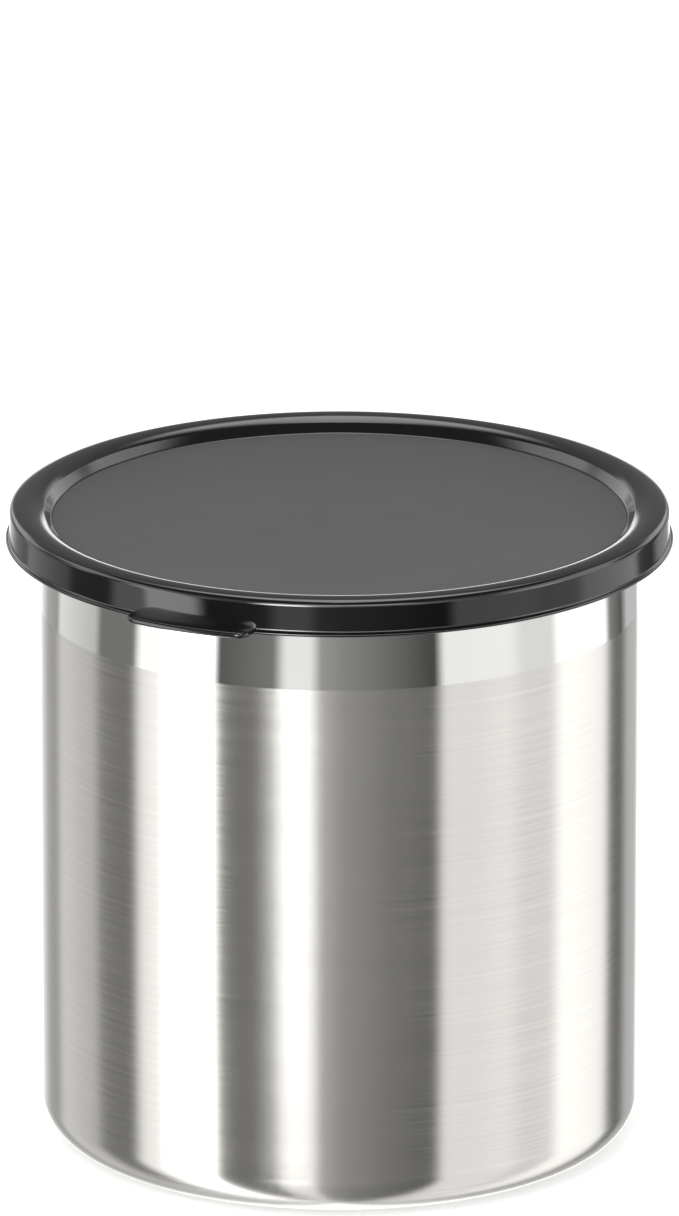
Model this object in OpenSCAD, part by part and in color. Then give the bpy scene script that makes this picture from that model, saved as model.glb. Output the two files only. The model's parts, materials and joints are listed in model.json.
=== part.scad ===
// Covered grease can with a drop-in mesh strainer, about 1.1 litres.
// The can stands on its floor at z = 0, with its axis on Z. The strainer's flange seats on the can's rolled
// rim, and the lid's sunk panel seats on the strainer's ledge while its skirt reaches over the rim.

/* [Can] */
// Outside diameter of the straight wall
can_d = 112; // [95:1:130]
// Height of the rolled rim above the surface the can stands on
can_h = 119; // [70:1:150]
// Thickness of the drawn sheet
wall_t = 0.8; // [0.6:0.1:1]
// Outside radius of the corner between the wall and the floor
base_r = 7; // [3:0.5:14]

/* [Rolled rim] */
// How far the rolled rim stands out from the wall
rim_reach = 3.9; // [3.7:0.1:4.6]
// Outside radius of the roll
curl_r = 1.8; // [1.5:0.1:1.8]
// Width of the flat land on top of the roll, where the strainer seats
land_w = 0.8; // [0.4:0.1:1]
// How far round the sheet is rolled, from the top of the rim
curl_turn = 245; // [180:5:260]

/* [Strainer flange] */
// Thickness of the stamped flange
flange_t = 0.6; // [0.5:0.1:0.8]
// How far the flange reaches past the rolled rim
flange_over = 0.3; // [0:0.1:0.5]
// Drop from the flange's flat to its inner ledge
ledge_drop = 1.1; // [1:0.1:1.6]
// Radius of the bend from the flat down to the ledge
flat_bend = 0.7; // [0.7:0.1:0.9]
// Radius of the bend at the foot of that step
foot_bend = 0.3; // [0.2:0.1:0.3]
// Radius of the bend from the ledge down into the neck
neck_bend = 0.7; // [0.6:0.1:0.9]
// Height of the neck below the ledge, with its bend
neck_h = 1.2; // [1:0.1:2]
// Play between the strainer and the can's mouth
mouth_clear = 0.3; // [0.3:0.1:0.5]

/* [Clamp hoop] */
// Thickness of the hoop that traps the mesh against the neck
hoop_t = 0.6; // [0.5:0.1:0.8]
// Height of the hoop
hoop_h = 1.3; // [1:0.1:2.4]
// Play between the hoop and the can's bore
hoop_clear = 0.5; // [0.3:0.1:0.7]

/* [Mesh bowl] */
// Thickness of the woven wire
mesh_t = 0.5; // [0.4:0.1:0.7]
// Slope of the bowl's straight upper side
bowl_slope = 48; // [40:1:55]
// Radius of the bowl's round bottom
bowl_r = 60; // [52:1:66]
// Spacing of the wires that run front to back
warp_pitch = 3.6; // [3:0.1:6]
// Spacing of the wires that run side to side
weft_pitch = 7.2; // [5:0.1:12]
// Width of each wire
wire_w = 1; // [0.7:0.1:1.4]

/* [Lid] */
// Thickness of the lid's sunk panel
panel_t = 0.8; // [0.7:0.1:1]
// Depth of the sunk panel below the ring's crest
recess_depth = 2.7; // [2.5:0.1:4]
// Lean of the wall between the panel and the ring
recess_lean = 38; // [20:1:40]
// Play between the sunk panel and the strainer's step
plug_clear = 0.4; // [0.3:0.1:0.6]
// Wall of the ring
ring_t = 0.8; // [0.7:0.1:0.9]
// Radius of the ring's broad crown
crown_r = 7; // [5.5:0.5:14]
// Radius of the ring's outer corner
corner_r = 1.2; // [0.9:0.1:1.4]
// Wall of the skirt
skirt_t = 0.8; // [0.8:0.1:1.2]
// How far the skirt's lip lies below the roll
skirt_over = 0.2; // [0:0.1:1]
// Play between the snap bead and the flange as the lid goes on
snap_clear = 0.3; // [0.3:0.1:0.5]
// How far the snap bead stands in from the skirt
snap_proud = 0.3; // [0.2:0.1:0.4]
// Reach of the flared lip past the skirt
lip_reach = 0.7; // [0.5:0.1:1.5]
// Thickness of the flared lip
lip_t = 0.6; // [0.5:0.1:0.8]

/* [Pull tab] */
// Width of the tab round the lip
tab_w = 25; // [16:1:34]
// Reach of the tab past the lip
tab_reach = 3.7; // [2.5:0.1:7]
// Thickness of the tab
tab_t = 1.1; // [0.8:0.1:1.4]
// Radius of the tab's two corners
tab_corner = 2.4; // [1:0.1:2.4]
// Turn of the tab from the front towards the left
tab_turn = 26; // [0:1:90]

/* [Hidden] */
$fn = 96;

// Gap between pieces that are crimped together
seat_gap = 0.05;

// Worked-out lengths are kept to a thousandth of a millimetre, so that neighbouring outlines share their ends
function fine(v) = round(v * 1000) / 1000;

// Can: the sheet runs up the bore, flows out over the rim and rolls under
can_r = can_d / 2;
bore_r = can_r - wall_t;
rim_r = can_r + rim_reach;
roll_x = rim_r - curl_r;
roll_z = can_h - curl_r;
flow_x = roll_x - land_w;
flow_r = flow_x - bore_r;
flow_z = can_h - flow_r;

// Strainer flange: its foot bend clears the flowing mouth of the can by mouth_clear
flange_r = rim_r + flange_over;
edge_r = flange_t / 2;
flange_z = can_h + flange_t;
ledge_z = flange_z - ledge_drop;
foot_out = foot_bend + flange_t;
foot_z = ledge_z + foot_bend;
foot_rise = max(0, foot_z - flow_z);
foot_x = fine(flow_x - sqrt(pow(flow_r + mouth_clear + foot_out, 2) - pow(foot_rise, 2)));
step_r = foot_x + foot_bend;
flat_x = step_r + flat_bend;

// Clamp: from the bore inwards come the hoop, the mesh's collar and the neck
hoop_out = bore_r - hoop_clear;
hoop_in = hoop_out - hoop_t;
collar_out = hoop_in - seat_gap;
collar_in = collar_out - mesh_t;
neck_out = collar_in - seat_gap;
neck_in = neck_out - flange_t;
neck_x = neck_in + neck_bend;
neck_z = ledge_z - neck_h;
collar_top = ledge_z - flange_t - seat_gap;

// Bowl: below the collar a cone runs tangent into a sphere
collar_foot = neck_z - seat_gap;
cone_z = fine(collar_foot - mesh_t * (1 / cos(bowl_slope) - tan(bowl_slope)));
ball_r = bowl_r + mesh_t;
tangent_r = fine(ball_r * sin(bowl_slope));
tangent_z = fine(cone_z - (collar_out - tangent_r) * tan(bowl_slope));
ball_z = fine(tangent_z + ball_r * cos(bowl_slope));
bowl_bottom = ball_z - ball_r;
weave_r = neck_in - wire_w;

// Lid heights: the panel rests on the strainer's ledge, the lip hangs just below the roll
panel_z = ledge_z + panel_t;
crest_z = panel_z + recess_depth;
lip_z = can_h - 2 * curl_r - skirt_over;

// Lid radii
plug_r = foot_x - plug_clear;
skirt_in = flange_r + snap_clear + snap_proud;
skirt_out = skirt_in + skirt_t;
lip_r = skirt_out + lip_reach;
tab_r = lip_r + tab_reach;

// Lid's recess wall, which leans outwards as it rises
wall_dir = [sin(recess_lean), cos(recess_lean)];
wall_out = [cos(recess_lean), -sin(recess_lean)];
lean_wall = fine(ring_t / cos(recess_lean));
face_r = plug_r - lean_wall;
function lean_x(from, z) = fine(from + (z - ledge_z) * tan(recess_lean));

// Crown of the ring, and the round corners that run tangent into it
crest_in_r = lean_x(face_r, crest_z);
crown_c = [fine((crest_in_r + skirt_out) / 2), crest_z - crown_r];
inner_r = 0.6;
inner_from = [face_r, ledge_z] + inner_r * wall_out - crown_c;
inner_along = inner_from * wall_dir;
inner_t = -inner_along + sqrt(pow(inner_along, 2) - inner_from * inner_from + pow(crown_r - inner_r, 2));
inner_raw = crown_c + inner_from + inner_t * wall_dir;
inner_c = [fine(inner_raw[0]), fine(inner_raw[1])];
outer_x = skirt_out - corner_r;
outer_c = [outer_x, fine(crown_c[1] + sqrt(pow(crown_r - corner_r, 2) - pow(outer_x - crown_c[0], 2)))];

// Small radii of the moulding
recess_fillet = 0.6;
lip_fillet = 0.5;
snap_r = 0.5;
snap_z = roll_z - curl_r + 0.7;
lead_in = 0.3;

// Corners of a sector between two angles, wide enough to cut a circle of radius r
function wedge(r, from, to) = concat(
    [[0, 0]],
    [for (i = [0:8]) let (a = from + (to - from) * i / 8) 2 * r * [cos(a), sin(a)]]
);

// Part of a flat ring between two angles
module arc_strip(outer, inner, from, to) {
    intersection() {
        difference() {
            circle(outer);
            circle(inner);
        }
        polygon(wedge(outer, from, to));
    }
}

// A rectangle from its lower left corner to its upper right one
module rect(x0, y0, x1, y1) {
    translate([x0, y0]) square([x1 - x0, y1 - y0]);
}

// Section of the drawn sheet, from the middle of the floor up the wall and round the rolled rim
module can_section() {
    rect(0, 0, can_r - base_r, wall_t);
    translate([can_r - base_r, base_r]) arc_strip(base_r, base_r - wall_t, 270, 360);
    rect(bore_r, base_r, can_r, flow_z);
    translate([flow_x, flow_z]) arc_strip(flow_r, flow_r - wall_t, 90, 180);
    rect(flow_x, can_h - wall_t, roll_x, can_h);
    translate([roll_x, roll_z]) arc_strip(curl_r, curl_r - wall_t, 90 - curl_turn, 90);
}

module can_body() {
    color("#b9bab8") rotate_extrude() can_section();
}

// Section of the stamped flange: round edge, flat, step, ledge and neck
module flange_section() {
    rect(flat_x, can_h, flange_r - edge_r, flange_z);
    translate([flange_r - edge_r, can_h + edge_r]) circle(edge_r);
    translate([flat_x, flange_z - flat_bend]) arc_strip(flat_bend, flat_bend - flange_t, 90, 180);
    rect(step_r, foot_z, step_r + flange_t, flange_z - flat_bend);
    translate([foot_x, foot_z]) arc_strip(foot_out, foot_bend, 270, 360);
    rect(neck_x, ledge_z - flange_t, foot_x, ledge_z);
    translate([neck_x, ledge_z - neck_bend]) arc_strip(neck_bend, neck_bend - flange_t, 90, 180);
    rect(neck_in, neck_z, neck_out, ledge_z - neck_bend);
}

module strainer_flange() {
    color("#c9c9c7") rotate_extrude() flange_section();
}

module clamp_hoop() {
    color("#a8a8a6") rotate_extrude() rect(hoop_in, collar_top - hoop_h, hoop_out, collar_top);
}

// Outline of the solid under one face of the bowl: a ball up to where the cone runs tangent, then the collar
module bowl_outline(ball, tangent, collar, foot) {
    inside = 5;
    translate([0, ball_z]) intersection() {
        circle(ball);
        rect(0, -ball - 1, tangent[0], tangent[1] - ball_z);
    }
    polygon([
        [0, tangent[1] - inside],
        tangent,
        [collar, foot],
        [collar, collar_top],
        [0, collar_top]
    ]);
}

// Section of the bowl: the collar that the hoop holds, the straight side and the round bottom
module bowl_section() {
    inner_tangent = [
        fine(tangent_r - mesh_t * sin(bowl_slope)),
        fine(tangent_z + mesh_t * cos(bowl_slope))
    ];
    difference() {
        bowl_outline(ball_r, [tangent_r, tangent_z], collar_out, cone_z);
        bowl_outline(bowl_r, inner_tangent, collar_in, collar_foot);
    }
}

// The openings between the wires as seen from above, cut off at the bowl's edge
module weave_openings() {
    nx = floor(weave_r / warp_pitch);
    ny = floor(weave_r / weft_pitch);
    intersection() {
        circle(weave_r);
        for (i = [-nx:nx], j = [-ny:ny]) {
            middle = [i * warp_pitch, j * weft_pitch];
            if (norm(middle) < weave_r - wire_w)
                translate(middle) square([warp_pitch - wire_w, weft_pitch - wire_w], center = true);
        }
    }
}

module strainer_mesh() {
    color("#d4d4d2") difference() {
        rotate_extrude() bowl_section();
        translate([0, 0, bowl_bottom - 1]) linear_extrude(neck_z - bowl_bottom + 1) weave_openings();
    }
}

// Upper face of the lid: recess wall, inner corner, crown and outer corner, over the skirt
module ring_outline() {
    to_inner = atan2(inner_c[1] - crown_c[1], inner_c[0] - crown_c[0]);
    to_outer = atan2(outer_c[1] - crown_c[1], outer_c[0] - crown_c[0]);
    translate(crown_c) intersection() {
        circle(crown_r);
        polygon(wedge(crown_r, to_outer, to_inner));
    }
    translate(inner_c) circle(inner_r);
    translate(outer_c) circle(corner_r);
    rect(outer_x - skirt_t, lip_z, skirt_out, outer_c[1]);
    polygon([
        [face_r, ledge_z],
        inner_c - inner_r * wall_out,
        inner_c,
        (inner_c + outer_c) / 2,
        crown_c,
        [plug_r, ledge_z]
    ]);
}

// Round foot between the sunk panel and the recess wall
module recess_foot() {
    z = panel_z + recess_fillet;
    c = [fine(lean_x(face_r, z) - recess_fillet / cos(recess_lean)), z];
    difference() {
        polygon([[c[0], panel_z], [lean_x(face_r, panel_z), panel_z], c + recess_fillet * wall_out, c]);
        translate(c) circle(recess_fillet);
    }
}

// Flared lip with its round edge, and the hollow curve above it
module lip_section() {
    lip_edge = lip_t / 2;
    rect(skirt_in, lip_z, lip_r - lip_edge, lip_z + lip_t);
    translate([lip_r - lip_edge, lip_z + lip_edge]) circle(lip_edge);
    translate([skirt_out, lip_z + lip_t]) difference() {
        square(lip_fillet);
        translate([lip_fillet, lip_fillet]) circle(lip_fillet);
    }
}

// Space under the ring that takes the rim: from the recess wall's back to the skirt
module ring_channel() {
    top = crest_z - ring_t;
    low = lip_z - 1;
    polygon([[lean_x(plug_r, low), low], [lean_x(plug_r, top), top], [skirt_in, top], [skirt_in, low]]);
}

module lid_section() {
    polygon([[0, ledge_z], [plug_r, ledge_z], [lean_x(face_r, panel_z), panel_z], [0, panel_z]]);
    recess_foot();
    difference() {
        union() {
            ring_outline();
            lip_section();
        }
        ring_channel();
        polygon([[skirt_in - 1, lip_z], [skirt_in, lip_z + lead_in], [skirt_in + lead_in, lip_z], [skirt_in, lip_z - 1]]);
    }
    translate([skirt_in + snap_r - snap_proud, snap_z]) circle(snap_r);
}

// Tab seen from above, reaching towards -Y: its outer side runs with the lip, and its corners are round
module tab_outline() {
    corner_x = tab_w / 2 - tab_corner;
    corner_y = fine(-sqrt(pow(tab_r - tab_corner, 2) - pow(corner_x, 2)));
    side_x = fine(corner_x * tab_r / (tab_r - tab_corner));
    intersection() {
        circle(tab_r);
        rect(-side_x, -tab_r - 1, side_x, -skirt_in);
    }
    for (side = [-1, 1]) translate([side * corner_x, corner_y]) circle(tab_corner);
    rect(-tab_w / 2, corner_y, tab_w / 2, -skirt_in + tab_w / 4);
}

module pull_tab() {
    edge = tab_t / 2;
    intersection() {
        rotate_extrude() {
            rect(skirt_out - skirt_t / 4, lip_z, tab_r - edge, lip_z + tab_t);
            translate([tab_r - edge, lip_z + edge]) circle(edge);
        }
        rotate([0, 0, -tab_turn]) translate([0, 0, lip_z - 1]) linear_extrude(tab_t + 2) tab_outline();
    }
}

module lid() {
    color("#1b1b1c") union() {
        rotate_extrude() lid_section();
        pull_tab();
    }
}

can_body();
strainer_flange();
clamp_hoop();
strainer_mesh();
lid();
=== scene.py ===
# Covered grease can with a drop-in mesh strainer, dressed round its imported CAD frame.
# At rest the can is closed. With both lifts at their upper limits it stands opened out,
# and the camera is framed for that.
import json
import math

import bmesh
import bpy
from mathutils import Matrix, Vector

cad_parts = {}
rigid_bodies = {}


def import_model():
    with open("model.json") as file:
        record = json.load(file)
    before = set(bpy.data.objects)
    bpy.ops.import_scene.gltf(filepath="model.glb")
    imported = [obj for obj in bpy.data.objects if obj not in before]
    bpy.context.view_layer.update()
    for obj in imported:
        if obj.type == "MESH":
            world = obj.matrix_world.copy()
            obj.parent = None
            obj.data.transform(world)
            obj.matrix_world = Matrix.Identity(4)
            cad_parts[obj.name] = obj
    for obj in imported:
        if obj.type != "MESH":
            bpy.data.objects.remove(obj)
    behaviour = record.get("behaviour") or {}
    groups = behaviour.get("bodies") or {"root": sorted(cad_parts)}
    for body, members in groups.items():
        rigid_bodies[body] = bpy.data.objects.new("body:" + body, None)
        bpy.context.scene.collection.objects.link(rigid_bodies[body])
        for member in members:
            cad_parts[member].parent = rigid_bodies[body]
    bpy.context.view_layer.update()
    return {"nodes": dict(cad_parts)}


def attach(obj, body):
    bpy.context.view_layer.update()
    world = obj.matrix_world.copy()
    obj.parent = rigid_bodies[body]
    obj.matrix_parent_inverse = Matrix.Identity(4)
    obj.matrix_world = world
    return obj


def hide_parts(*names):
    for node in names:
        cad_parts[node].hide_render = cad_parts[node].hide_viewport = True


for leftover in list(bpy.data.objects):        # Blender's own start-up cube, lamp and camera
    bpy.data.objects.remove(leftover)
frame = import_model()
print("frame loaded:", sorted(frame["nodes"]))

mm = 0.001
samePoint = 1e-6                               # mm: two points nearer than this are one
sharpAngle = math.radians(40)                  # faces that meet at more than this keep their edge
scene = bpy.context.scene
scene.view_settings.view_transform = "Standard"


def linear(hexColour):
    # sRGB hex to the linear values that Blender's sockets take
    parts = [int(hexColour[i:i + 2], 16) / 255 for i in (1, 3, 5)]
    return [p / 12.92 if p <= 0.04045 else ((p + 0.055) / 1.055) ** 2.4 for p in parts] + [1]


def addNode(tree, kind, inputs=None, **settings):
    # an input that is a socket gets linked, anything else is set on the node's own socket
    node = tree.nodes.new(kind)
    for key, value in settings.items():
        setattr(node, key, value)
    for key, value in (inputs or {}).items():
        if isinstance(value, bpy.types.NodeSocket):
            tree.links.new(value, node.inputs[key])
        else:
            node.inputs[key].default_value = value
    return node


def newMaterial(name):
    material = bpy.data.materials.new(name)
    material.use_nodes = True
    material.node_tree.nodes.clear()
    return material, material.node_tree


def addObject(name, mesh):
    piece = bpy.data.objects.new(name, mesh)
    scene.collection.objects.link(piece)
    return piece


def objectFrom(bm, name, *materials):
    # ends the modelling: the finished mesh with its materials, at the origin
    mesh = bpy.data.meshes.new(name)
    bm.to_mesh(mesh)
    bm.free()
    for material in materials:
        mesh.materials.append(material)
    return addObject(name, mesh)


noiseSpan = {"From Min": 0.3, "From Max": 0.7}     # most of a noise texture's values lie in here

brushing = {
    "pitch": 0.35,               # mm between brush lines, drawn coarser than the real 0.05 to show
    "length": 60,                # mm that a line runs round the wall
    "octaves": 4.0,              # of finer lines laid among them
    "octaveShare": 0.65,         # how strong each octave is beside the one before
    "depth": 0.02,               # mm
    "roughSway": 0.1,            # share by which the roughness goes up and down from line to line
    "cloud": 45,                 # mm across the faint patches where the belt pressed harder
    "cloudShade": 0.97,
}
# lineBump is how strongly the lines catch the light, and lineShade how much darker they are
steelFinishes = {
    "brushed": {
        "name": "brushedStainless", "colour": "#cfcdc9", "roughness": 0.19,
        "anisotropy": 1.0, "lineBump": 0.15, "lineShade": 0.07,
    },
    "polished": {
        "name": "polishedStainless", "colour": "#dad9d6", "roughness": 0.06,
        "anisotropy": 0.3, "lineBump": 0.02, "lineShade": 0.02,
    },
    "inside": {
        # the can's own steel with its colour darkened: painted shade on the can's inside
        "name": "drawnStainlessInsideWithPaintedShade", "colour": "#aeaca8", "roughness": 0.38,
        "anisotropy": 1.0, "lineBump": 0.15, "lineShade": 0.14,
    },
    "satin": {
        "name": "satinStainless", "colour": "#cfcdc9", "roughness": 0.42,
        "anisotropy": 1.0, "lineBump": 0.05, "lineShade": 0.05,
    },
}


def brushedSteel(name, colour, roughness, anisotropy, lineBump, lineShade):
    # drawn 304 stainless sheet, belt-brushed round the axis: warm grey, and the lines smear
    # each reflection up and down into a stripe
    material, tree = newMaterial(name)
    place = addNode(tree, "ShaderNodeTexCoord").outputs["Object"]
    roundAxis = addNode(tree, "ShaderNodeVectorMath", {0: (0, 0, 1), 1: place}, operation="CROSS_PRODUCT")
    split = addNode(tree, "ShaderNodeSeparateXYZ", {0: place})
    flatPlace = addNode(tree, "ShaderNodeVectorMath", {0: place, 1: (1, 1, 0)}, operation="MULTIPLY")
    fromAxis = addNode(tree, "ShaderNodeVectorMath", {0: flatPlace.outputs["Vector"]}, operation="LENGTH")
    # up a wall and out across a flat alike, so that each line runs round the axis
    climb = addNode(tree, "ShaderNodeMath", {0: split.outputs["Z"], 1: fromAxis.outputs["Value"]})
    lined = addNode(tree, "ShaderNodeCombineXYZ", {
        "X": split.outputs["X"], "Y": split.outputs["Y"], "Z": climb.outputs["Value"],
    })
    along, across = 1 / (brushing["length"] * mm), 1 / (brushing["pitch"] * mm)
    squeeze = addNode(tree, "ShaderNodeMapping", {
        "Vector": lined.outputs["Vector"], "Scale": (along, along, across),
    })
    lines = addNode(tree, "ShaderNodeTexNoise", {
        "Vector": squeeze.outputs["Vector"], "Scale": 1.0,
        "Detail": brushing["octaves"], "Roughness": brushing["octaveShare"],
    })
    clouds = addNode(tree, "ShaderNodeTexNoise", {
        "Vector": place, "Scale": 1 / (brushing["cloud"] * mm), "Detail": 2.0,
    })
    tint = addNode(tree, "ShaderNodeMapRange", {
        "Value": lines.outputs["Fac"], **noiseSpan, "To Min": 1 - lineShade, "To Max": 1,
    })
    drift = addNode(tree, "ShaderNodeMapRange", {
        "Value": clouds.outputs["Fac"], **noiseSpan, "To Min": brushing["cloudShade"], "To Max": 1,
    })
    shade = addNode(tree, "ShaderNodeMath", {
        0: tint.outputs["Result"], 1: drift.outputs["Result"],
    }, operation="MULTIPLY")
    paint = addNode(tree, "ShaderNodeVectorMath", {
        0: linear(colour)[:3], "Scale": shade.outputs["Value"],
    }, operation="SCALE")
    rough = addNode(tree, "ShaderNodeMapRange", {
        "Value": lines.outputs["Fac"], **noiseSpan,
        "To Min": roughness * (1 - brushing["roughSway"]), "To Max": roughness * (1 + brushing["roughSway"]),
    })
    bump = addNode(tree, "ShaderNodeBump", {
        "Height": lines.outputs["Fac"], "Strength": lineBump, "Distance": brushing["depth"] * mm,
    })
    # a quarter turn lays the smear across the lines
    shader = addNode(tree, "ShaderNodeBsdfPrincipled", {
        "Base Color": paint.outputs["Vector"], "Metallic": 1.0, "Roughness": rough.outputs["Result"],
        "Anisotropic": anisotropy, "Anisotropic Rotation": 0.25, "Tangent": roundAxis.outputs["Vector"],
        "Normal": bump.outputs["Normal"],
    })
    addNode(tree, "ShaderNodeOutputMaterial", {"Surface": shader.outputs["BSDF"]})
    return material


wireLook = {
    # near white, lighter than the can's own steel: painted light on the wires
    "colour": "#f6f5f3",
    "paintedDiveShade": 0.1,                  # share of that colour left in the painted shade where a wire dives through the weave
    "crestFrom": 0.75,           # how far up a crest the full colour starts
    "smooth": 0.272,             # roughness where the drawing die ran wet, and where it dragged
    "dragged": 0.442,
    "drag": 3,                   # mm from one to the other
}


def wireSteel():
    # drawn and woven 304 wire, near white for painted light, brightest on its crests, with painted shade
    # where it dives between its neighbours
    material, tree = newMaterial("wovenStainlessWire")
    place = addNode(tree, "ShaderNodeTexCoord").outputs["Object"]
    drag = addNode(tree, "ShaderNodeTexNoise", {
        "Vector": place, "Scale": 1 / (wireLook["drag"] * mm), "Detail": 2.0,
    })
    rough = addNode(tree, "ShaderNodeMapRange", {
        "Value": drag.outputs["Fac"], "To Min": wireLook["smooth"], "To Max": wireLook["dragged"],
    })
    # painted light on each wire's crests and painted shade where it dives through the weave
    crest = addNode(tree, "ShaderNodeAttribute", attribute_name="crest")
    shade = addNode(tree, "ShaderNodeMapRange", {
        "Value": crest.outputs["Fac"], "From Max": wireLook["crestFrom"],
        "To Min": wireLook["paintedDiveShade"], "To Max": 1.0,
    })
    paint = addNode(tree, "ShaderNodeVectorMath", {
        0: linear(wireLook["colour"])[:3], "Scale": shade.outputs["Result"],
    }, operation="SCALE")
    shader = addNode(tree, "ShaderNodeBsdfPrincipled", {
        "Base Color": paint.outputs["Vector"], "Metallic": 1.0, "Roughness": rough.outputs["Result"],
    })
    addNode(tree, "ShaderNodeOutputMaterial", {"Surface": shader.outputs["BSDF"]})
    return material


moulding = {
    "ior": 1.51,                 # low-density polyethylene
    "grainDark": 0.85,           # share of the colour in the grain's pits and on its tops
    "grainPale": 1.1,
    "depth": 0.03,               # mm
    "cloud": 30,                 # mm across the patches where the melt met a hotter or a cooler mould
    "roughSway": 0.1,
}
# grain is in mm, and grainBump is how strongly it catches the light
plasticFinishes = {
    "gloss": {
        "name": "glossPolyethylene", "colour": "#0b0b0c", "roughness": 0.09,
        "grain": 0.6, "grainBump": 0.03,
    },
    "matte": {
        "name": "sparkTexturedPolyethylene", "colour": "#3c3c3e", "roughness": 0.55,
        "grain": 0.35, "grainBump": 0.5,
    },
}


def mouldedPlastic(name, colour, roughness, grain, grainBump):
    # black low-density polyethylene from a mould: polished steel leaves it glossy,
    # and spark-worn steel leaves a fine grain that greys it
    material, tree = newMaterial(name)
    place = addNode(tree, "ShaderNodeTexCoord").outputs["Object"]
    speckle = addNode(tree, "ShaderNodeTexNoise", {
        "Vector": place, "Scale": 1 / (grain * mm), "Detail": 3.0, "Roughness": 0.6,
    })
    clouds = addNode(tree, "ShaderNodeTexNoise", {
        "Vector": place, "Scale": 1 / (moulding["cloud"] * mm), "Detail": 2.0,
    })
    shade = addNode(tree, "ShaderNodeMapRange", {
        "Value": speckle.outputs["Fac"], "To Min": moulding["grainDark"], "To Max": moulding["grainPale"],
    })
    paint = addNode(tree, "ShaderNodeVectorMath", {
        0: linear(colour)[:3], "Scale": shade.outputs["Result"],
    }, operation="SCALE")
    rough = addNode(tree, "ShaderNodeMapRange", {
        "Value": clouds.outputs["Fac"], **noiseSpan,
        "To Min": roughness * (1 - moulding["roughSway"]), "To Max": roughness * (1 + moulding["roughSway"]),
    })
    bump = addNode(tree, "ShaderNodeBump", {
        "Height": speckle.outputs["Fac"], "Strength": grainBump, "Distance": moulding["depth"] * mm,
    })
    shader = addNode(tree, "ShaderNodeBsdfPrincipled", {
        "Base Color": paint.outputs["Vector"], "Roughness": rough.outputs["Result"], "IOR": moulding["ior"],
        "Normal": bump.outputs["Normal"],
    })
    addNode(tree, "ShaderNodeOutputMaterial", {"Surface": shader.outputs["BSDF"]})
    return material


finishes = {
    **{key: brushedSteel(**look) for key, look in steelFinishes.items()},
    **{key: mouldedPlastic(**look) for key, look in plasticFinishes.items()},
    "wire": wireSteel(),
}
print("materials made:", len(finishes))


def arc(centre, radius, start, end, steps):
    # points of an arc in the half plane of distance from the axis and height, angles in degrees
    angles = [math.radians(start + (end - start) * i / steps) for i in range(steps + 1)]
    return [(centre[0] + radius * math.cos(a), centre[1] + radius * math.sin(a)) for a in angles]


def turned(name, spans, closed, turns=288):
    # spans are (finish, points in mm): each starts where the last one ended,
    # and a point on the axis makes a pole
    outline, edgeFinish = [], []
    for finish, points in spans:
        for point in points:
            if outline and math.dist(outline[-1], point) < samePoint:
                continue
            if outline:
                edgeFinish.append(finish)
            outline.append(point)
    if closed and math.dist(outline[0], outline[-1]) < samePoint:
        outline.pop()
    elif closed:
        edgeFinish.append(spans[-1][0])
    names = list(dict.fromkeys(edgeFinish))
    bm = bmesh.new()
    rings = []
    for r, z in outline:
        if r < samePoint:
            rings.append([bm.verts.new((0, 0, z * mm))])
        else:
            rings.append([
                bm.verts.new((r * mm * math.cos(a), r * mm * math.sin(a), z * mm))
                for a in (2 * math.pi * k / turns for k in range(turns))
            ])
    pairs = list(zip(rings, rings[1:])) + ([(rings[-1], rings[0])] if closed else [])
    for (low, high), finish in zip(pairs, edgeFinish):
        for k in range(turns):
            after = (k + 1) % turns
            corners = [low[k % len(low)], low[after % len(low)], high[after % len(high)], high[k % len(high)]]
            face = bm.faces.new(list(dict.fromkeys(corners)))
            face.material_index = names.index(finish)
            face.smooth = True
    bmesh.ops.recalc_face_normals(bm, faces=bm.faces)
    piece = objectFrom(bm, name, *(finishes[finish] for finish in names))
    piece.data.set_sharp_from_angle(angle=sharpAngle)
    return piece


can = {
    "wallRadius": 56.0,       # mm to the outside; the can, the flange and the lid are all given in mm
    "sheet": 0.8,
    "height": 119.0,
    "baseRadius": 7.0,        # of the round corner at the floor
    "rollRadius": 1.8,        # of the rolled rim's own section
    "rimRadius": 59.9,
    "land": 0.8,              # flat between the flowing mouth and the roll
    "rollTurn": 245,          # degrees that the sheet is rolled through
    "polishFrom": 103.0,      # height where the brushing stops and the polished band starts
    "wallRings": (40, 75),    # heights that split the wall's long faces
}
bore = can["wallRadius"] - can["sheet"]
rollX = can["rimRadius"] - can["rollRadius"]
rollZ = can["height"] - can["rollRadius"]
flowX = rollX - can["land"]
flowR = flowX - bore
flowZ = can["height"] - flowR
cornerX = can["wallRadius"] - can["baseRadius"]
rollInside = can["rollRadius"] - can["sheet"]


def makeCan():
    # from the middle of the floor's underside up the outside, over the rim and down the inside
    base, outside = can["baseRadius"], can["wallRadius"]
    low, high = can["wallRings"]
    return turned("can", [
        ("satin", [(0, 0), (cornerX / 2, 0), (cornerX, 0)]),
        ("brushed", arc((cornerX, base), base, -90, 0, 16)),
        ("brushed", [(outside, low), (outside, high), (outside, can["polishFrom"])]),
        ("polished", [(outside, flowZ)]),
        ("polished", arc((flowX, flowZ), flowR - can["sheet"], 180, 90, 8)),
        ("polished", arc((rollX, rollZ), rollInside, 90, 90 - can["rollTurn"], 24)),
        ("polished", arc((rollX, rollZ), can["rollRadius"], 90 - can["rollTurn"], 90, 28)),
        ("polished", arc((flowX, flowZ), flowR, 90, 180, 12)),
        # the inside takes the steel that carries painted shade
        ("inside", [(bore, high), (bore, low), (bore, base)]),
        ("inside", arc((cornerX, base), base - can["sheet"], 0, -90, 14)),
        ("inside", [(cornerX / 2, can["sheet"]), (0, can["sheet"])]),
    ], closed=False)


canPiece = makeCan()
print("can turned")


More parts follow.
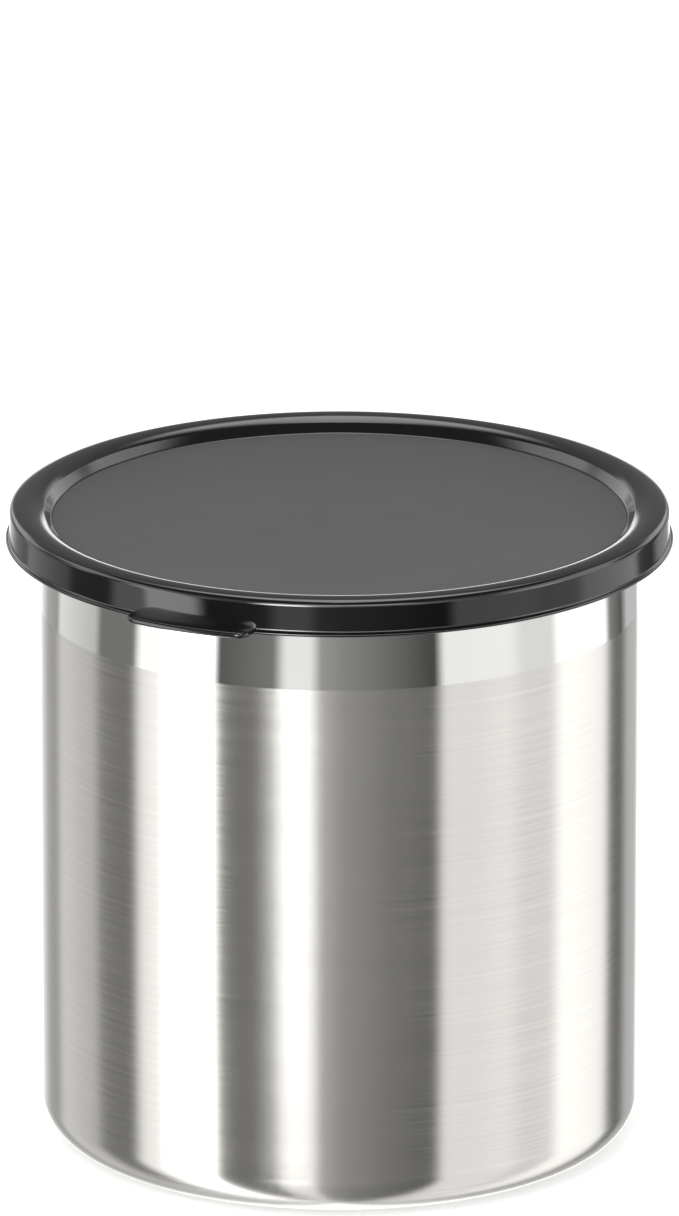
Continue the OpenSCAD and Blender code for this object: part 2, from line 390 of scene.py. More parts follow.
flange = {
    "sheet": 0.6,
    "over": 0.3,              # how far it reaches past the can's rim
    "ledgeDrop": 1.1,         # from its top to the sunk ledge
    "flatBend": 0.7,          # inside radii of its bends, from the flat inwards
    "footBend": 0.3,
    "neckBend": 0.7,
    "neckHeight": 1.2,        # from the ledge down to the neck's end
    "neckInside": 52.9,
    "mouthGap": 0.3,          # play between the step and the can's mouth
}
flangeRadius = can["rimRadius"] + flange["over"]
flangeTop = can["height"] + flange["sheet"]
ledgeZ = flangeTop - flange["ledgeDrop"]
footOut = flange["footBend"] + flange["sheet"]
footZ = ledgeZ + flange["footBend"]
footX = flowX - math.sqrt((flowR + flange["mouthGap"] + footOut) ** 2 - max(0, footZ - flowZ) ** 2)
stepX = footX + flange["footBend"]
flatX = stepX + flange["flatBend"]
neckX = flange["neckInside"] + flange["neckBend"]
neckZ = ledgeZ - flange["neckHeight"]


def makeFlange():
    # from the round edge inwards along the top, down the neck, and back along the underside
    thick, inside = flange["sheet"], flange["neckInside"]
    edge = thick / 2
    flatCentre = (flatX, flangeTop - flange["flatBend"])
    neckCentre = (neckX, ledgeZ - flange["neckBend"])
    outline = [
        arc((flangeRadius - edge, can["height"] + edge), edge, -90, 90, 10),
        arc(flatCentre, flange["flatBend"], 90, 180, 8),
        arc((footX, footZ), flange["footBend"], 0, -90, 6),
        arc(neckCentre, flange["neckBend"], 90, 180, 8),
        [(inside, neckZ), (inside + thick, neckZ)],
        arc(neckCentre, flange["neckBend"] - thick, 180, 90, 4),
        arc((footX, footZ), footOut, -90, 0, 8),
        arc(flatCentre, flange["flatBend"] - thick, 180, 90, 4),
    ]
    return turned("strainerFlange", [("satin", points) for points in outline], closed=True)


flangePiece = makeFlange()
print("flange turned")


weave = {
    "ribPitch": 1.4,           # mm between the stout wires inside the bowl, which run front to back
    "warpPitch": 0.7,          # mm between the fine wires that run front to back
    "weftPitch": 0.65,         # mm between the fine wires that run side to side
    "ribWire": 0.42,           # mm across
    "warpWire": 0.24,          # the fine wires are drawn as coarse as it takes to show them
    "weftWire": 0.22,
    "ribProud": 0.38,          # mm that the stout wires lie inside the fine ones
    "ribSides": 8,
    "fineSides": 4,
    "crossingSteps": 2,        # points from one crossing to the next: each wire's crests and its middles
    "bowRadius": 105.0,        # the smaller, the more the wires bow outwards
    "turn": 6.0,               # degrees that the sheet lies turned in its flange
    "warpShine": 0.35,         # how much painted light the fine wires' inner crests get beside their outer ones
    "weftShine": 0.8,
    "edgeRadius": 53.8,
    "ribEdgeRadius": 53.4,
    "bowlRadius": 60.25,       # middle of the mesh, between the two faces
    "slope": 48.0,             # degrees of the straight side
    "edgeHeight": 117.15,      # where the straight side reaches edgeRadius
    "bands": ("A", "B"),       # pieces that each set of fine wires is shared between
    "bandShift": 0.1,          # mm, so that no wire lies on the line between two bands
    "everywhere": 1.0,         # metres: past any wire
}
weaveInputs = {
    "Wires": "Int", "Wire Pitch": "Float", "Steps": "Int", "Step Length": "Float", "Crossing Pitch": "Float",
    "Wave Height": "Float", "Proud": "Float", "Wire Radius": "Float", "Sides": "Int", "Edge Radius": "Float",
    "Bowl Radius": "Float", "Slope": "Float", "Edge Height": "Float", "Bow Radius": "Float", "Turn": "Float",
    "Front To Back": "Bool", "Keep From": "Float", "Keep To": "Float", "Inner Shine": "Float",
    "Wire Material": "Material",
}
nearlyNothing = 0.001 * mm
weaveSums = [
    # the grid that the wires are drawn from, and its edges from wire to wire, which go
    ("stepGaps", "SUBTRACT", "Steps", 1),
    ("gridLength", "MULTIPLY", "stepGaps", "Step Length"),
    ("wireGaps", "SUBTRACT", "Wires", 1),
    ("gridWidth", "MULTIPLY", "wireGaps", "Wire Pitch"),
    ("edgeRun", "SUBTRACT", "firstEnd", "secondEnd"),
    ("edgeWidth", "ABSOLUTE", "edgeRun"),
    ("isAcross", "GREATER_THAN", "edgeWidth", nearlyNothing),
    # the drawn sheet bows its wires outwards: each one is part of an ellipse about the bowl's middle
    ("alongRatio", "DIVIDE", "along", "Bow Radius"),
    ("alongShare", "POWER", "alongRatio", 2),
    ("besideRatio", "DIVIDE", "beside", "Bow Radius"),
    ("besideShare", "POWER", "besideRatio", 2),
    ("sharesCrossed", "MULTIPLY", "alongShare", "besideShare"),
    ("crossedRest", "SUBTRACT", 1, "sharesCrossed"),
    ("besideRest", "SUBTRACT", 1, "besideShare"),
    ("alongSquare", "DIVIDE", "besideRest", "crossedRest"),
    ("alongScale", "SQRT", "alongSquare"),
    ("bowedAlong", "MULTIPLY", "along", "alongScale"),
    ("alongRest", "SUBTRACT", 1, "alongShare"),
    ("besideSquare", "DIVIDE", "alongRest", "crossedRest"),
    ("besideScale", "SQRT", "besideSquare"),
    ("bowedBeside", "MULTIPLY", "beside", "besideScale"),
    # how far from the axis that is, and what is cut away
    ("bowedAlongSquare", "POWER", "bowedAlong", 2),
    ("bowedBesideSquare", "POWER", "bowedBeside", 2),
    ("radiusSquare", "ADD", "bowedAlongSquare", "bowedBesideSquare"),
    ("radius", "SQRT", "radiusSquare"),
    ("isOutside", "GREATER_THAN", "radius", "Edge Radius"),
    ("isBefore", "LESS_THAN", "beside", "Keep From"),
    ("isBeyond", "GREATER_THAN", "beside", "Keep To"),
    ("isOtherBand", "MAXIMUM", "isBefore", "isBeyond"),
    ("isCut", "MAXIMUM", "isOutside", "isOtherBand"),
    # the bowl: a ball up to where the straight side runs tangent, then the straight side
    ("slope", "RADIANS", "Slope"),
    ("slopeSine", "SINE", "slope"),
    ("slopeCosine", "COSINE", "slope"),
    ("slopeTangent", "TANGENT", "slope"),
    ("tangentRadius", "MULTIPLY", "Bowl Radius", "slopeSine"),
    ("sideRun", "SUBTRACT", "Edge Radius", "tangentRadius"),
    ("sideRise", "MULTIPLY", "sideRun", "slopeTangent"),
    ("tangentHeight", "SUBTRACT", "Edge Height", "sideRise"),
    ("ballRise", "MULTIPLY", "Bowl Radius", "slopeCosine"),
    ("ballHeight", "ADD", "tangentHeight", "ballRise"),
    ("inBall", "MINIMUM", "radius", "tangentRadius"),
    ("bowlSquare", "POWER", "Bowl Radius", 2),
    ("inBallSquare", "POWER", "inBall", 2),
    ("dropSquare", "SUBTRACT", "bowlSquare", "inBallSquare"),
    ("drop", "SQRT", "dropSquare"),
    ("onSide", "SUBTRACT", "radius", "inBall"),
    ("climb", "MULTIPLY", "onSide", "slopeTangent"),
    ("onBall", "SUBTRACT", "ballHeight", "drop"),
    ("height", "ADD", "onBall", "climb"),
    # each wire waves along the bowl's own normal, and every second wire starts on the other side
    ("crossings", "DIVIDE", "along", "Crossing Pitch"),
    ("neighbours", "DIVIDE", "beside", "Wire Pitch"),
    ("phase", "ADD", "crossings", "neighbours"),
    ("phaseAngle", "MULTIPLY", "phase", math.pi),
    ("phaseCosine", "COSINE", "phaseAngle"),
    ("swing", "MULTIPLY", "phaseCosine", "Wave Height"),
    ("wave", "ADD", "swing", "Proud"),
    ("lean", "DIVIDE", "inBall", "Bowl Radius"),
    ("leanSquare", "POWER", "lean", 2),
    ("uprightSquare", "SUBTRACT", 1, "leanSquare"),
    ("upright", "SQRT", "uprightSquare"),
    ("upward", "MULTIPLY", "wave", "upright"),
    ("outward", "MULTIPLY", "wave", "lean"),
    ("inward", "MULTIPLY", "outward", -1),
    ("safeRadius", "MAXIMUM", "radius", nearlyNothing),
    ("inwardShare", "DIVIDE", "inward", "safeRadius"),
    ("pulledIn", "ADD", 1, "inwardShare"),
    ("placedAlong", "MULTIPLY", "bowedAlong", "pulledIn"),
    ("placedBeside", "MULTIPLY", "bowedBeside", "pulledIn"),
    ("placedHeight", "ADD", "height", "upward"),
    # painted light and shade along each wire: outer crests lit most, inner ones less, painted shade where it
    # dives, and a straight wire lit all along
    ("waveSize", "ABSOLUTE", "Wave Height"),
    ("outerWave", "MULTIPLY", "waveSize", -1),
    ("outerShine", "DIVIDE", "swing", "outerWave"),
    ("innerShare", "MULTIPLY", "Inner Shine", -1),
    ("innerShine", "MULTIPLY", "outerShine", "innerShare"),
    ("paintedCrestLight", "MAXIMUM", "outerShine", "innerShine"),
    ("isStraight", "LESS_THAN", "waveSize", nearlyNothing),
    ("crest", "MAXIMUM", "paintedCrestLight", "isStraight"),
]


def weaveTree():
    # one set of wires: rows of points in plan, lifted on to the bowl, waved over and under,
    # then given their thickness
    tree = bpy.data.node_groups.new("wovenWires", "GeometryNodeTree")
    tree.interface.new_socket("Geometry", in_out="OUTPUT", socket_type="NodeSocketGeometry")
    for label, kind in weaveInputs.items():
        tree.interface.new_socket(label, in_out="INPUT", socket_type="NodeSocket" + kind)
    given = addNode(tree, "NodeGroupInput").outputs
    ends = addNode(tree, "GeometryNodeInputMeshEdgeVertices")
    point = addNode(tree, "GeometryNodeInputPosition")
    plan = addNode(tree, "ShaderNodeSeparateXYZ", {0: point.outputs["Position"]})
    known = {label: given[label] for label in weaveInputs}
    known["along"], known["beside"] = plan.outputs["X"], plan.outputs["Y"]
    for label, position in (("firstEnd", "Position 1"), ("secondEnd", "Position 2")):
        known[label] = addNode(tree, "ShaderNodeSeparateXYZ", {0: ends.outputs[position]}).outputs["Y"]
    for label, operation, *terms in weaveSums:
        # a term that is a name stands for that socket, and a number for itself
        inputs = {place: known.get(term, term) for place, term in enumerate(terms)}
        known[label] = addNode(tree, "ShaderNodeMath", inputs, operation=operation).outputs["Value"]

    grid = addNode(tree, "GeometryNodeMeshGrid", {
        "Size X": known["gridLength"], "Size Y": known["gridWidth"],
        "Vertices X": known["Steps"], "Vertices Y": known["Wires"],
    })
    rows = addNode(tree, "GeometryNodeDeleteGeometry", {
        "Geometry": grid.outputs["Mesh"], "Selection": known["isAcross"],
    }, domain="EDGE", mode="EDGE_FACE")
    trimmed = addNode(tree, "GeometryNodeDeleteGeometry", {
        "Geometry": rows.outputs["Geometry"], "Selection": known["isCut"],
    }, domain="POINT", mode="ALL")
    # stores the painted light and shade that the wire material reads
    marked = addNode(tree, "GeometryNodeStoreNamedAttribute", {
        "Geometry": trimmed.outputs["Geometry"], "Name": "crest", "Value": known["crest"],
    }, data_type="FLOAT", domain="POINT")
    sideways = addNode(tree, "ShaderNodeCombineXYZ", {
        "X": known["placedAlong"], "Y": known["placedBeside"], "Z": known["placedHeight"],
    })
    frontToBack = addNode(tree, "ShaderNodeCombineXYZ", {
        "X": known["placedBeside"], "Y": known["placedAlong"], "Z": known["placedHeight"],
    })
    place = addNode(tree, "GeometryNodeSwitch", {
        "Switch": known["Front To Back"],
        "False": sideways.outputs["Vector"], "True": frontToBack.outputs["Vector"],
    }, input_type="VECTOR")
    swung = addNode(tree, "ShaderNodeVectorRotate", {
        "Vector": place.outputs["Output"], "Angle": known["Turn"],
    }, rotation_type="Z_AXIS")
    lifted = addNode(tree, "GeometryNodeSetPosition", {
        "Geometry": marked.outputs["Geometry"], "Position": swung.outputs["Vector"],
    })
    line = addNode(tree, "GeometryNodeMeshToCurve", {"Mesh": lifted.outputs["Geometry"]})
    section = addNode(tree, "GeometryNodeCurvePrimitiveCircle", {
        "Resolution": known["Sides"], "Radius": known["Wire Radius"],
    })
    wire = addNode(tree, "GeometryNodeCurveToMesh", {
        "Curve": line.outputs["Curve"], "Profile Curve": section.outputs["Curve"], "Fill Caps": True,
    })
    smooth = addNode(tree, "GeometryNodeSetShadeSmooth", {"Geometry": wire.outputs["Mesh"]})
    real = addNode(tree, "GeometryNodeRealizeInstances", {"Geometry": smooth.outputs["Geometry"]})
    dressed = addNode(tree, "GeometryNodeSetMaterial", {
        "Geometry": real.outputs["Geometry"], "Material": known["Wire Material"],
    })
    addNode(tree, "NodeGroupOutput", {"Geometry": dressed.outputs["Geometry"]})
    return tree


def wovenPiece(name, tree, values):
    # runs the tree on an empty mesh and keeps the result as a plain one
    host = addObject(name + "Host", bpy.data.meshes.new(name + "Host"))
    modifier = host.modifiers.new("weave", "NODES")
    modifier.node_group = tree
    for item in tree.interface.items_tree:
        if item.in_out == "INPUT":
            modifier[item.identifier] = values[item.name]
    bpy.context.view_layer.update()
    evaluated = host.evaluated_get(bpy.context.evaluated_depsgraph_get())
    mesh = bpy.data.meshes.new_from_object(evaluated)
    mesh.name = name
    bpy.data.objects.remove(host)
    return addObject(name, mesh)


def makeWeave():
    tree = weaveTree()
    reach = weave["edgeRadius"]
    shared = {
        "Bowl Radius": weave["bowlRadius"] * mm, "Slope": weave["slope"], "Edge Radius": reach * mm,
        "Edge Height": weave["edgeHeight"] * mm, "Bow Radius": weave["bowRadius"] * mm,
        "Turn": math.radians(weave["turn"]), "Wire Material": finishes["wire"],
    }
    fine = {"Proud": 0.0, "Sides": weave["fineSides"]}

    def layer(name, pitch, crossingPitch, swing, thickness, frontToBack, more):
        step = crossingPitch / weave["crossingSteps"]
        return wovenPiece(name, tree, {
            **shared, "Wires": 2 * int(reach / pitch) + 1, "Steps": 2 * int(reach / step) + 1,
            "Wire Pitch": pitch * mm, "Step Length": step * mm, "Crossing Pitch": crossingPitch * mm,
            "Wave Height": swing * mm, "Wire Radius": thickness / 2 * mm,
            "Front To Back": frontToBack, **more,
        })

    warp, weft = weave["warpPitch"], weave["weftPitch"]
    made = [layer("ribWires", weave["ribPitch"], weft * 2, 0.0, weave["ribWire"], True, {
        "Proud": weave["ribProud"] * mm, "Sides": weave["ribSides"], "Inner Shine": 1.0,
        "Edge Radius": weave["ribEdgeRadius"] * mm,
        "Keep From": -weave["everywhere"], "Keep To": weave["everywhere"],
    })]
    swing = (weave["warpWire"] + weave["weftWire"]) / 4        # crossing wires lie just in touch
    bandWidth = 2 * reach / len(weave["bands"])
    for number, letter in enumerate(weave["bands"]):
        low = (-reach + bandWidth * number + weave["bandShift"]) * mm
        band = {**fine, "Keep From": low, "Keep To": low + bandWidth * mm}
        made.append(layer("warpWires" + letter, warp, weft, -swing, weave["warpWire"], True, {
            **band, "Inner Shine": weave["warpShine"],
        }))
        made.append(layer("weftWires" + letter, weft, warp, swing, weave["weftWire"], False, {
            **band, "Inner Shine": weave["weftShine"],
        }))
    return made


wires = makeWeave()
for piece in wires:
    print("woven:", piece.name, len(piece.data.polygons) * 2, "triangles")


lid = {
    "panel": 0.8,             # thickness of the sunk panel
    "recess": 2.7,            # from the ring's crest down to the panel
    "lean": 38.0,             # degrees that the recess wall leans outwards
    "plugGap": 0.4,           # play between the lid and the flange's step
    "wall": 0.8,
    "crown": 7.0,             # radius of the ring's broad top
    "corner": 1.2,            # radii of the ring's two corners
    "innerCorner": 0.6,
    "fillet": 0.6,            # round the panel's edge
    "skirt": 0.8,             # thickness
    "beadGap": 0.3,           # play between the inner bead and the flange
    "beadProud": 0.3,
    "beadRadius": 0.5,
    "beadRise": 0.7,          # from the rim's underside up to the bead
    "lip": 0.6,               # thickness
    "lipReach": 0.7,
    "lipBelow": 0.2,          # how far it hangs below the can's rim
    "lipFillet": 0.5,
    "softEdge": 0.3,          # chamfer at the skirt's mouth
    "tabWidth": 25.0,
    "tabReach": 3.7,
    "tabThickness": 1.1,
    "tabCorner": 2.4,
    "tabTurn": 26.0,          # degrees from the front to the left
}
panelTop = ledgeZ + lid["panel"]
crestZ = panelTop + lid["recess"]
rimBottom = can["height"] - 2 * can["rollRadius"]
lipZ = rimBottom - lid["lipBelow"]
plugX = footX - lid["plugGap"]
skirtIn = flangeRadius + lid["beadGap"] + lid["beadProud"]
skirtOut = skirtIn + lid["skirt"]
lipX = skirtOut + lid["lipReach"]
tabX = lipX + lid["tabReach"]


def lidOutline():
    # from the middle of the panel outwards over the ring, round the lip and back along the underside
    lean = math.radians(lid["lean"])
    run = math.tan(lean)
    out = (math.cos(lean), -math.sin(lean))        # from the recess wall's face towards the ring
    faceX = plugX - lid["wall"] / math.cos(lean)
    crown = ((faceX + (crestZ - ledgeZ) * run + skirtOut) / 2, crestZ - lid["crown"])
    # inner corner: touches the leaning wall and the crown from inside
    fromCrown = (
        faceX + lid["innerCorner"] * out[0] - crown[0],
        ledgeZ + lid["innerCorner"] * out[1] - crown[1],
    )
    forward = fromCrown[0] * math.sin(lean) + fromCrown[1] * math.cos(lean)
    reach = (lid["crown"] - lid["innerCorner"]) ** 2 - fromCrown[0] ** 2 - fromCrown[1] ** 2
    travel = -forward + math.sqrt(forward ** 2 + reach)
    inner = (
        crown[0] + fromCrown[0] + travel * math.sin(lean),
        crown[1] + fromCrown[1] + travel * math.cos(lean),
    )
    outerX = skirtOut - lid["corner"]
    outer = (outerX, crown[1] + math.sqrt((lid["crown"] - lid["corner"]) ** 2 - (outerX - crown[0]) ** 2))
    toInner = math.degrees(math.atan2(inner[1] - crown[1], inner[0] - crown[0]))
    toOuter = math.degrees(math.atan2(outer[1] - crown[1], outer[0] - crown[0]))
    footCentreZ = panelTop + lid["fillet"]
    footCentreX = faceX + (footCentreZ - ledgeZ) * run - lid["fillet"] / math.cos(lean)
    channelTop = crestZ - lid["wall"]
    channelX = plugX + (channelTop - ledgeZ) * run
    lipTop = lipZ + lid["lip"] + lid["lipFillet"]
    lipEdge = lid["lip"] / 2
    beadX = skirtIn + lid["beadRadius"] - lid["beadProud"]
    beadZ = rimBottom + lid["beadRise"]
    beadHalf = math.sqrt(lid["beadRadius"] ** 2 - (beadX - skirtIn) ** 2)
    beadAngle = math.degrees(math.atan2(beadHalf, skirtIn - beadX))
    return [
        ("matte", [(0, panelTop), (plugX / 2, panelTop), (footCentreX, panelTop)]),
        ("gloss", arc((footCentreX, footCentreZ), lid["fillet"], -90, -lid["lean"], 6)),
        ("gloss", arc(inner, lid["innerCorner"], 180 - lid["lean"], toInner, 6)),
        ("gloss", arc(crown, lid["crown"], toInner, toOuter, 16)),
        ("gloss", arc(outer, lid["corner"], toOuter, 0, 8)),
        ("gloss", arc((skirtOut + lid["lipFillet"], lipTop), lid["lipFillet"], 180, 270, 5)[:-1]),
        ("gloss", arc((lipX - lipEdge, lipZ + lipEdge), lipEdge, 90, -90, 8)),
        ("gloss", [(skirtIn + lid["softEdge"], lipZ), (skirtIn, lipZ + lid["softEdge"])]),
        ("gloss", arc((beadX, beadZ), lid["beadRadius"], 360 - beadAngle, beadAngle, 8)),
        ("gloss", [(skirtIn, channelTop), (channelX, channelTop), (plugX, ledgeZ)]),
        ("matte", [(plugX / 2, ledgeZ), (0, ledgeZ)]),
    ]


def tabOutline(inset):
    # the tab from above, reaching towards -Y: round corners, and an outer side that runs with the lip
    corner = lid["tabCorner"] - inset
    cornerX = lid["tabWidth"] / 2 - lid["tabCorner"]
    cornerY = math.sqrt((tabX - lid["tabCorner"]) ** 2 - cornerX ** 2)
    spread = math.degrees(math.atan2(cornerX, cornerY))
    rootX = lid["tabWidth"] / 2 - inset
    rootY = math.sqrt((skirtIn + lid["skirt"] / 2) ** 2 - rootX ** 2)
    rootTurn = math.degrees(math.atan2(rootX, rootY))
    return [
        *arc((-cornerX, -cornerY), corner, 180, 270 - spread, 8),
        *arc((0, 0), tabX - inset, 270 - spread, 270 + spread, 24)[1:-1],
        *arc((cornerX, -cornerY), corner, 270 + spread, 360, 8),
        *arc((0, 0), math.hypot(rootX, rootY), 270 + rootTurn, 270 - rootTurn, 12),
    ]


def pullTab():
    # a blunt crescent on the lip with a half-round edge, turned from the front to the left
    bm = bmesh.new()
    turn = math.radians(-lid["tabTurn"])
    edge = lid["tabThickness"] / 2
    rings = []
    for out, up in arc((0, 0), edge, -90, 90, 8):
        rings.append([
            bm.verts.new((
                (x * math.cos(turn) - y * math.sin(turn)) * mm,
                (x * math.sin(turn) + y * math.cos(turn)) * mm,
                (lipZ + edge + up) * mm,
            ))
            for x, y in tabOutline(edge - out)
        ])
    for low, high in zip(rings, rings[1:]):
        for k in range(len(low)):
            after = (k + 1) % len(low)
            bm.faces.new((low[k], low[after], high[after], high[k]))
    bm.faces.new(rings[0])
    bm.faces.new(rings[-1])
    bmesh.ops.recalc_face_normals(bm, faces=bm.faces)
    for face in bm.faces:
        face.smooth = True
    return objectFrom(bm, "pullTab", finishes["gloss"])


def makeLid():
    body = turned("lidMoulding", lidOutline(), closed=False)
    tab = pullTab()
    join = body.modifiers.new("tab", "BOOLEAN")
    join.operation = "UNION"
    join.solver = "MANIFOLD"
    join.object = tab
    bpy.context.view_layer.update()
    mesh = bpy.data.meshes.new_from_object(body.evaluated_get(bpy.context.evaluated_depsgraph_get()))
    body.modifiers.clear()
    body.data = mesh
    bpy.data.objects.remove(tab)
    mesh.set_sharp_from_angle(angle=sharpAngle)
    return body


lidPiece = makeLid()
print("lid moulded:", len(lidPiece.data.polygons), "faces")


frame["nodes"]["clamp_hoop"].data.materials.clear()
frame["nodes"]["clamp_hoop"].data.materials.append(finishes["satin"])

for piece, body, slot, node in (
    (canPiece, "can", "can_steel", "can_body"),
    (flangePiece, "strainer", "flange_steel", "strainer_flange"),
    *((wire, "strainer", "mesh_wire", "strainer_mesh") for wire in wires),
    (lidPiece, "lid", "lid_plastic", "lid"),
):
    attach(piece, body)
    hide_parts(node)
print("pieces ride on their bodies")


studio = {
    "domeRadius": 3.0,            # metres
    "domeFaces": (96, 48),
    "softLight": 0.75,            # how brightly the world lights matt surfaces
    # rows of soft boxes and flags stood round the can, one above another: a stop is degrees off
    # the camera's side and how bright, and a row takes over from the one below it between its
    # two heights, which are shares of the dome's radius
    "rows": [
        {   # level with the can and below: what its wall shows
            "stops": [
                (-174, 2.6), (-166, 1.2), (-151, 0.5), (-139, 0.42), (-135, 1.0), (-108, 0.7),
                (-104, 0.24), (-86, 0.24), (-82, 1.5), (-71, 1.5), (-69, 4.4), (-51.5, 4.4),
                (-47, 0.13), (-25, 0.26), (-20.5, 1.15), (-11, 1.15), (-7, 0.44), (2, 0.33),
                (37, 0.08), (40.5, 1.2), (68, 1.24), (75, 1.0), (89, 1.0), (94, 1.75),
                (123, 1.6), (127, 0.3), (138, 0.12), (145, 0.66), (162, 0.6), (172, 2.6),
            ],
        },
        {   # above that: what the can's inside and the wires show
            "heights": (0.11, 0.2),
            "stops": [
                (-166, 0.35), (-158, 1.8), (-132, 1.8), (-124, 0.5), (-112, 0.5), (-106, 1.6),
                (-100, 2.2), (-93, 0.3), (-82, 0.3), (-72, 5.0), (-60, 5.0), (-52, 2.4),
                (-46, 1.4), (-41, 0.7), (-31, 0.7), (-22.5, 26.0), (-14, 26.0), (-8, 5.0),
                (-4, 3.6), (2, 1.3), (20, 0.9), (27, 2.6), (54, 1.0), (62, 3.4),
                (78, 5.2), (84, 3.0), (106, 2.6), (114, 0.5), (126, 0.5), (134, 1.8),
                (158, 1.8), (166, 0.35),
            ],
        },
        {   # overhead: shines on the wires' crests and on the flange
            "heights": (0.42, 0.5),
            "stops": [
                (-140, 0.4), (-120, 2.6), (-75, 2.6), (-60, 1.0), (-32, 1.0), (-22, 5.5),
                (22, 5.5), (32, 1.0), (60, 1.0), (75, 2.6), (120, 2.6), (140, 0.4),
            ],
        },
        {   # the ceiling: dim but for a box high up behind, which whitens the flange
            "heights": (0.68, 0.78),
            "stops": [(-165, 3.6), (-150, 0.2), (150, 0.2), (165, 3.6)],
        },
    ],
}


def makeDome():
    # seen by reflections alone: rows of upright strips, bright as soft boxes or dark as flags
    material, tree = newMaterial("studioStrips")
    place = addNode(tree, "ShaderNodeTexCoord").outputs["Object"]
    split = addNode(tree, "ShaderNodeSeparateXYZ", {0: place})
    front = addNode(tree, "ShaderNodeMath", {0: split.outputs["Y"], 1: -1.0}, operation="MULTIPLY")
    turn = addNode(tree, "ShaderNodeMath", {
        0: split.outputs["X"], 1: front.outputs["Value"],
    }, operation="ARCTAN2")
    wholeTurns = addNode(tree, "ShaderNodeMath", {
        0: turn.outputs["Value"], 1: 2 * math.pi,
    }, operation="DIVIDE")
    roundShare = addNode(tree, "ShaderNodeMath", {0: wholeTurns.outputs["Value"], 1: 0.5})
    height = addNode(tree, "ShaderNodeMath", {
        0: split.outputs["Z"], 1: studio["domeRadius"],
    }, operation="DIVIDE")
    level = None
    for row in studio["rows"]:
        ramp = addNode(tree, "ShaderNodeValToRGB", {"Fac": roundShare.outputs["Value"]})
        brightest = max(bright for _, bright in row["stops"])
        points = ramp.color_ramp.elements
        points.remove(points[-1])
        for number, (edge, bright) in enumerate(row["stops"]):
            position = (edge + 180) / 360
            point = points[0] if number == 0 else points.new(position)
            point.position = position
            point.color = (bright / brightest,) * 3 + (1,)
        strips = addNode(tree, "ShaderNodeMath", {
            0: ramp.outputs["Color"], 1: brightest,
        }, operation="MULTIPLY").outputs["Value"]
        if level is None:
            level = strips
            continue
        above = addNode(tree, "ShaderNodeMapRange", {
            "Value": height.outputs["Value"], "From Min": row["heights"][0], "From Max": row["heights"][1],
        }, interpolation_type="SMOOTHSTEP")
        level = addNode(tree, "ShaderNodeMix", {
            "Factor": above.outputs["Result"], "A": level, "B": strips,
        }).outputs["Result"]
    glow = addNode(tree, "ShaderNodeEmission", {"Color": (1, 1, 1, 1), "Strength": level})
    addNode(tree, "ShaderNodeOutputMaterial", {"Surface": glow.outputs["Emission"]})
    bm = bmesh.new()
    across, upward = studio["domeFaces"]
    bmesh.ops.create_uvsphere(bm, u_segments=across, v_segments=upward, radius=studio["domeRadius"])
    dome = objectFrom(bm, "studioDome", material)
    for kind in ("camera", "diffuse", "transmission", "volume_scatter", "shadow"):
        setattr(dome, "visible_" + kind, False)
    return dome


def backgroundRays(tree):
    # 1 for rays that come from the camera, also by way of a mirror or through glass
    ray = addNode(tree, "ShaderNodeLightPath").outputs
    cameraOrGloss = addNode(tree, "ShaderNodeMath", {
        0: ray["Is Camera Ray"], 1: ray["Is Glossy Ray"],
    }, operation="MAXIMUM")
    return addNode(tree, "ShaderNodeMath", {
        0: cameraOrGloss.outputs["Value"], 1: ray["Is Transmission Ray"],
    }, operation="MAXIMUM").outputs["Value"]


table = {
    "radius": 2.5,                # metres
    "edges": 96,
    "below": 0.05,                # mm under the can, so that the two don't share a face
    "colour": "#efefee",
    "whiten": 0.42,               # what brings the lit table to white for the camera
}


def makeFloor():
    # pale table: white to the camera where the light reaches it, with the can's soft shadow left on it
    material, tree = newMaterial("paleTable")
    whiten = addNode(tree, "ShaderNodeMath", {
        0: backgroundRays(tree), 1: table["whiten"],
    }, operation="MULTIPLY")
    surface = addNode(tree, "ShaderNodeBsdfDiffuse", {"Color": linear(table["colour"])})
    glow = addNode(tree, "ShaderNodeEmission", {"Color": (1, 1, 1, 1), "Strength": whiten.outputs["Value"]})
    both = addNode(tree, "ShaderNodeAddShader", {0: surface.outputs["BSDF"], 1: glow.outputs["Emission"]})
    addNode(tree, "ShaderNodeOutputMaterial", {"Surface": both.outputs["Shader"]})
    bm = bmesh.new()
    bmesh.ops.create_circle(bm, cap_ends=True, radius=table["radius"], segments=table["edges"])
    bmesh.ops.translate(bm, verts=bm.verts, vec=(0, 0, -table["below"] * mm))
    tableTop = objectFrom(bm, "tableTop", material)
    tableTop.visible_glossy = False
    return tableTop


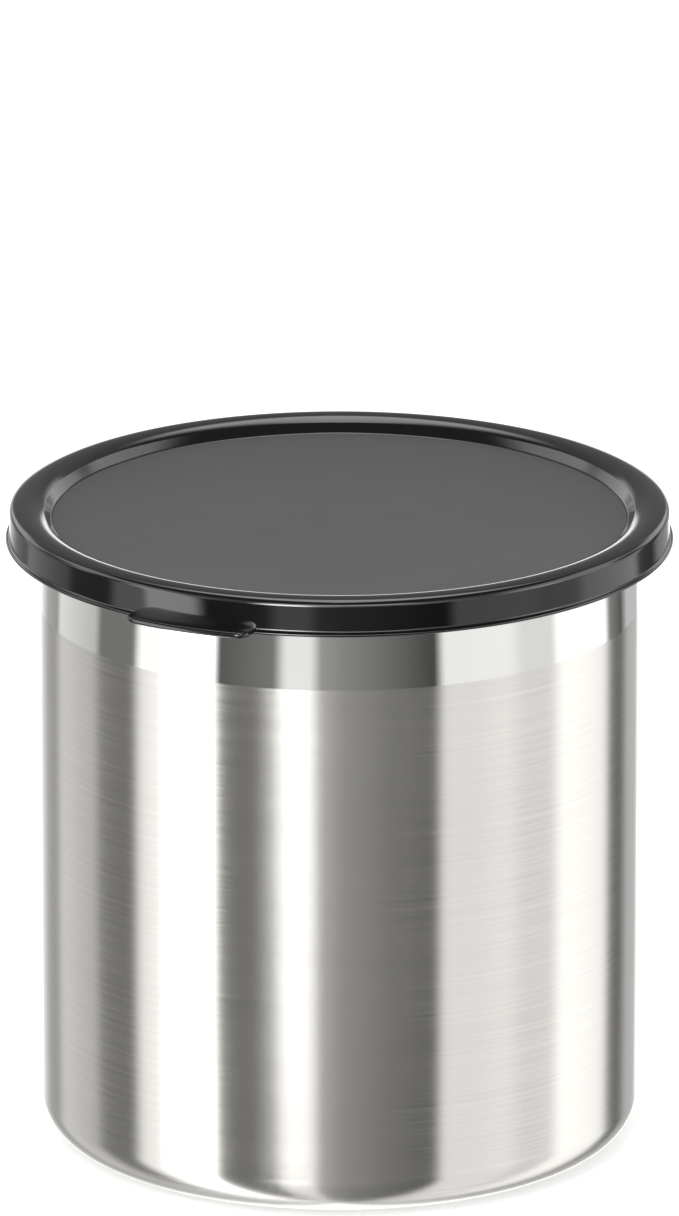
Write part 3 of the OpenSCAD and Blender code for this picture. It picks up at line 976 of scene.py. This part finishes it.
def makeWorld():
    # white behind everything for the camera, and an even soft light on matt surfaces
    world = bpy.data.worlds.new("softStudio")
    scene.world = world
    world.use_nodes = True
    tree = world.node_tree
    tree.nodes.clear()
    level = addNode(tree, "ShaderNodeMapRange", {
        "Value": backgroundRays(tree), "To Min": studio["softLight"], "To Max": 1.0,
    })
    sky = addNode(tree, "ShaderNodeBackground", {"Color": (1, 1, 1, 1), "Strength": level.outputs["Result"]})
    addNode(tree, "ShaderNodeOutputWorld", {"Surface": sky.outputs["Background"]})


softBox = {
    "size": 1.4,                  # metres across
    "power": 9.0,                 # watts
    "place": (-0.3, -0.3, 1.6),   # metres
}


def makeLamps():
    # one broad soft box overhead gives the floor its shadow; reflections come from the dome alone
    data = bpy.data.lights.new("overhead", "AREA")
    data.shape = "DISK"
    data.size = softBox["size"]
    data.energy = softBox["power"]
    lamp = bpy.data.objects.new("overhead", data)
    scene.collection.objects.link(lamp)
    lamp.location = softBox["place"]
    lamp.rotation_euler = (-lamp.location).to_track_quat("-Z", "Y").to_euler()
    lamp.visible_glossy = False


makeDome()
makeFloor()
makeWorld()
makeLamps()
print("studio lit")


view = {
    "distance": 3.0,              # metres, to the point on the axis that it looks at
    "elevation": 17.4,            # degrees
    "aimHeight": 0.1014,          # metres, of that point
    "imageHeight": 1216,          # px, the photograph's long side
    "pixelsPerRadian": 16050,     # on that side
    "sensor": 36.0,               # mm
    "clip": (0.1, 50),            # metres
}


def makeCamera():
    data = bpy.data.cameras.new("productCamera")
    data.sensor_width = view["sensor"]
    data.lens = view["pixelsPerRadian"] / view["imageHeight"] * view["sensor"]
    data.clip_start, data.clip_end = view["clip"]
    camera = bpy.data.objects.new("productCamera", data)
    scene.collection.objects.link(camera)
    tilt = math.radians(view["elevation"])
    aim = Vector((0, 0, view["aimHeight"]))
    back = Vector((0, -math.cos(tilt), math.sin(tilt)))
    camera.location = aim + back * view["distance"]
    camera.rotation_euler = (-back).to_track_quat("-Z", "Y").to_euler()
    scene.camera = camera


makeCamera()
print("scene ready")
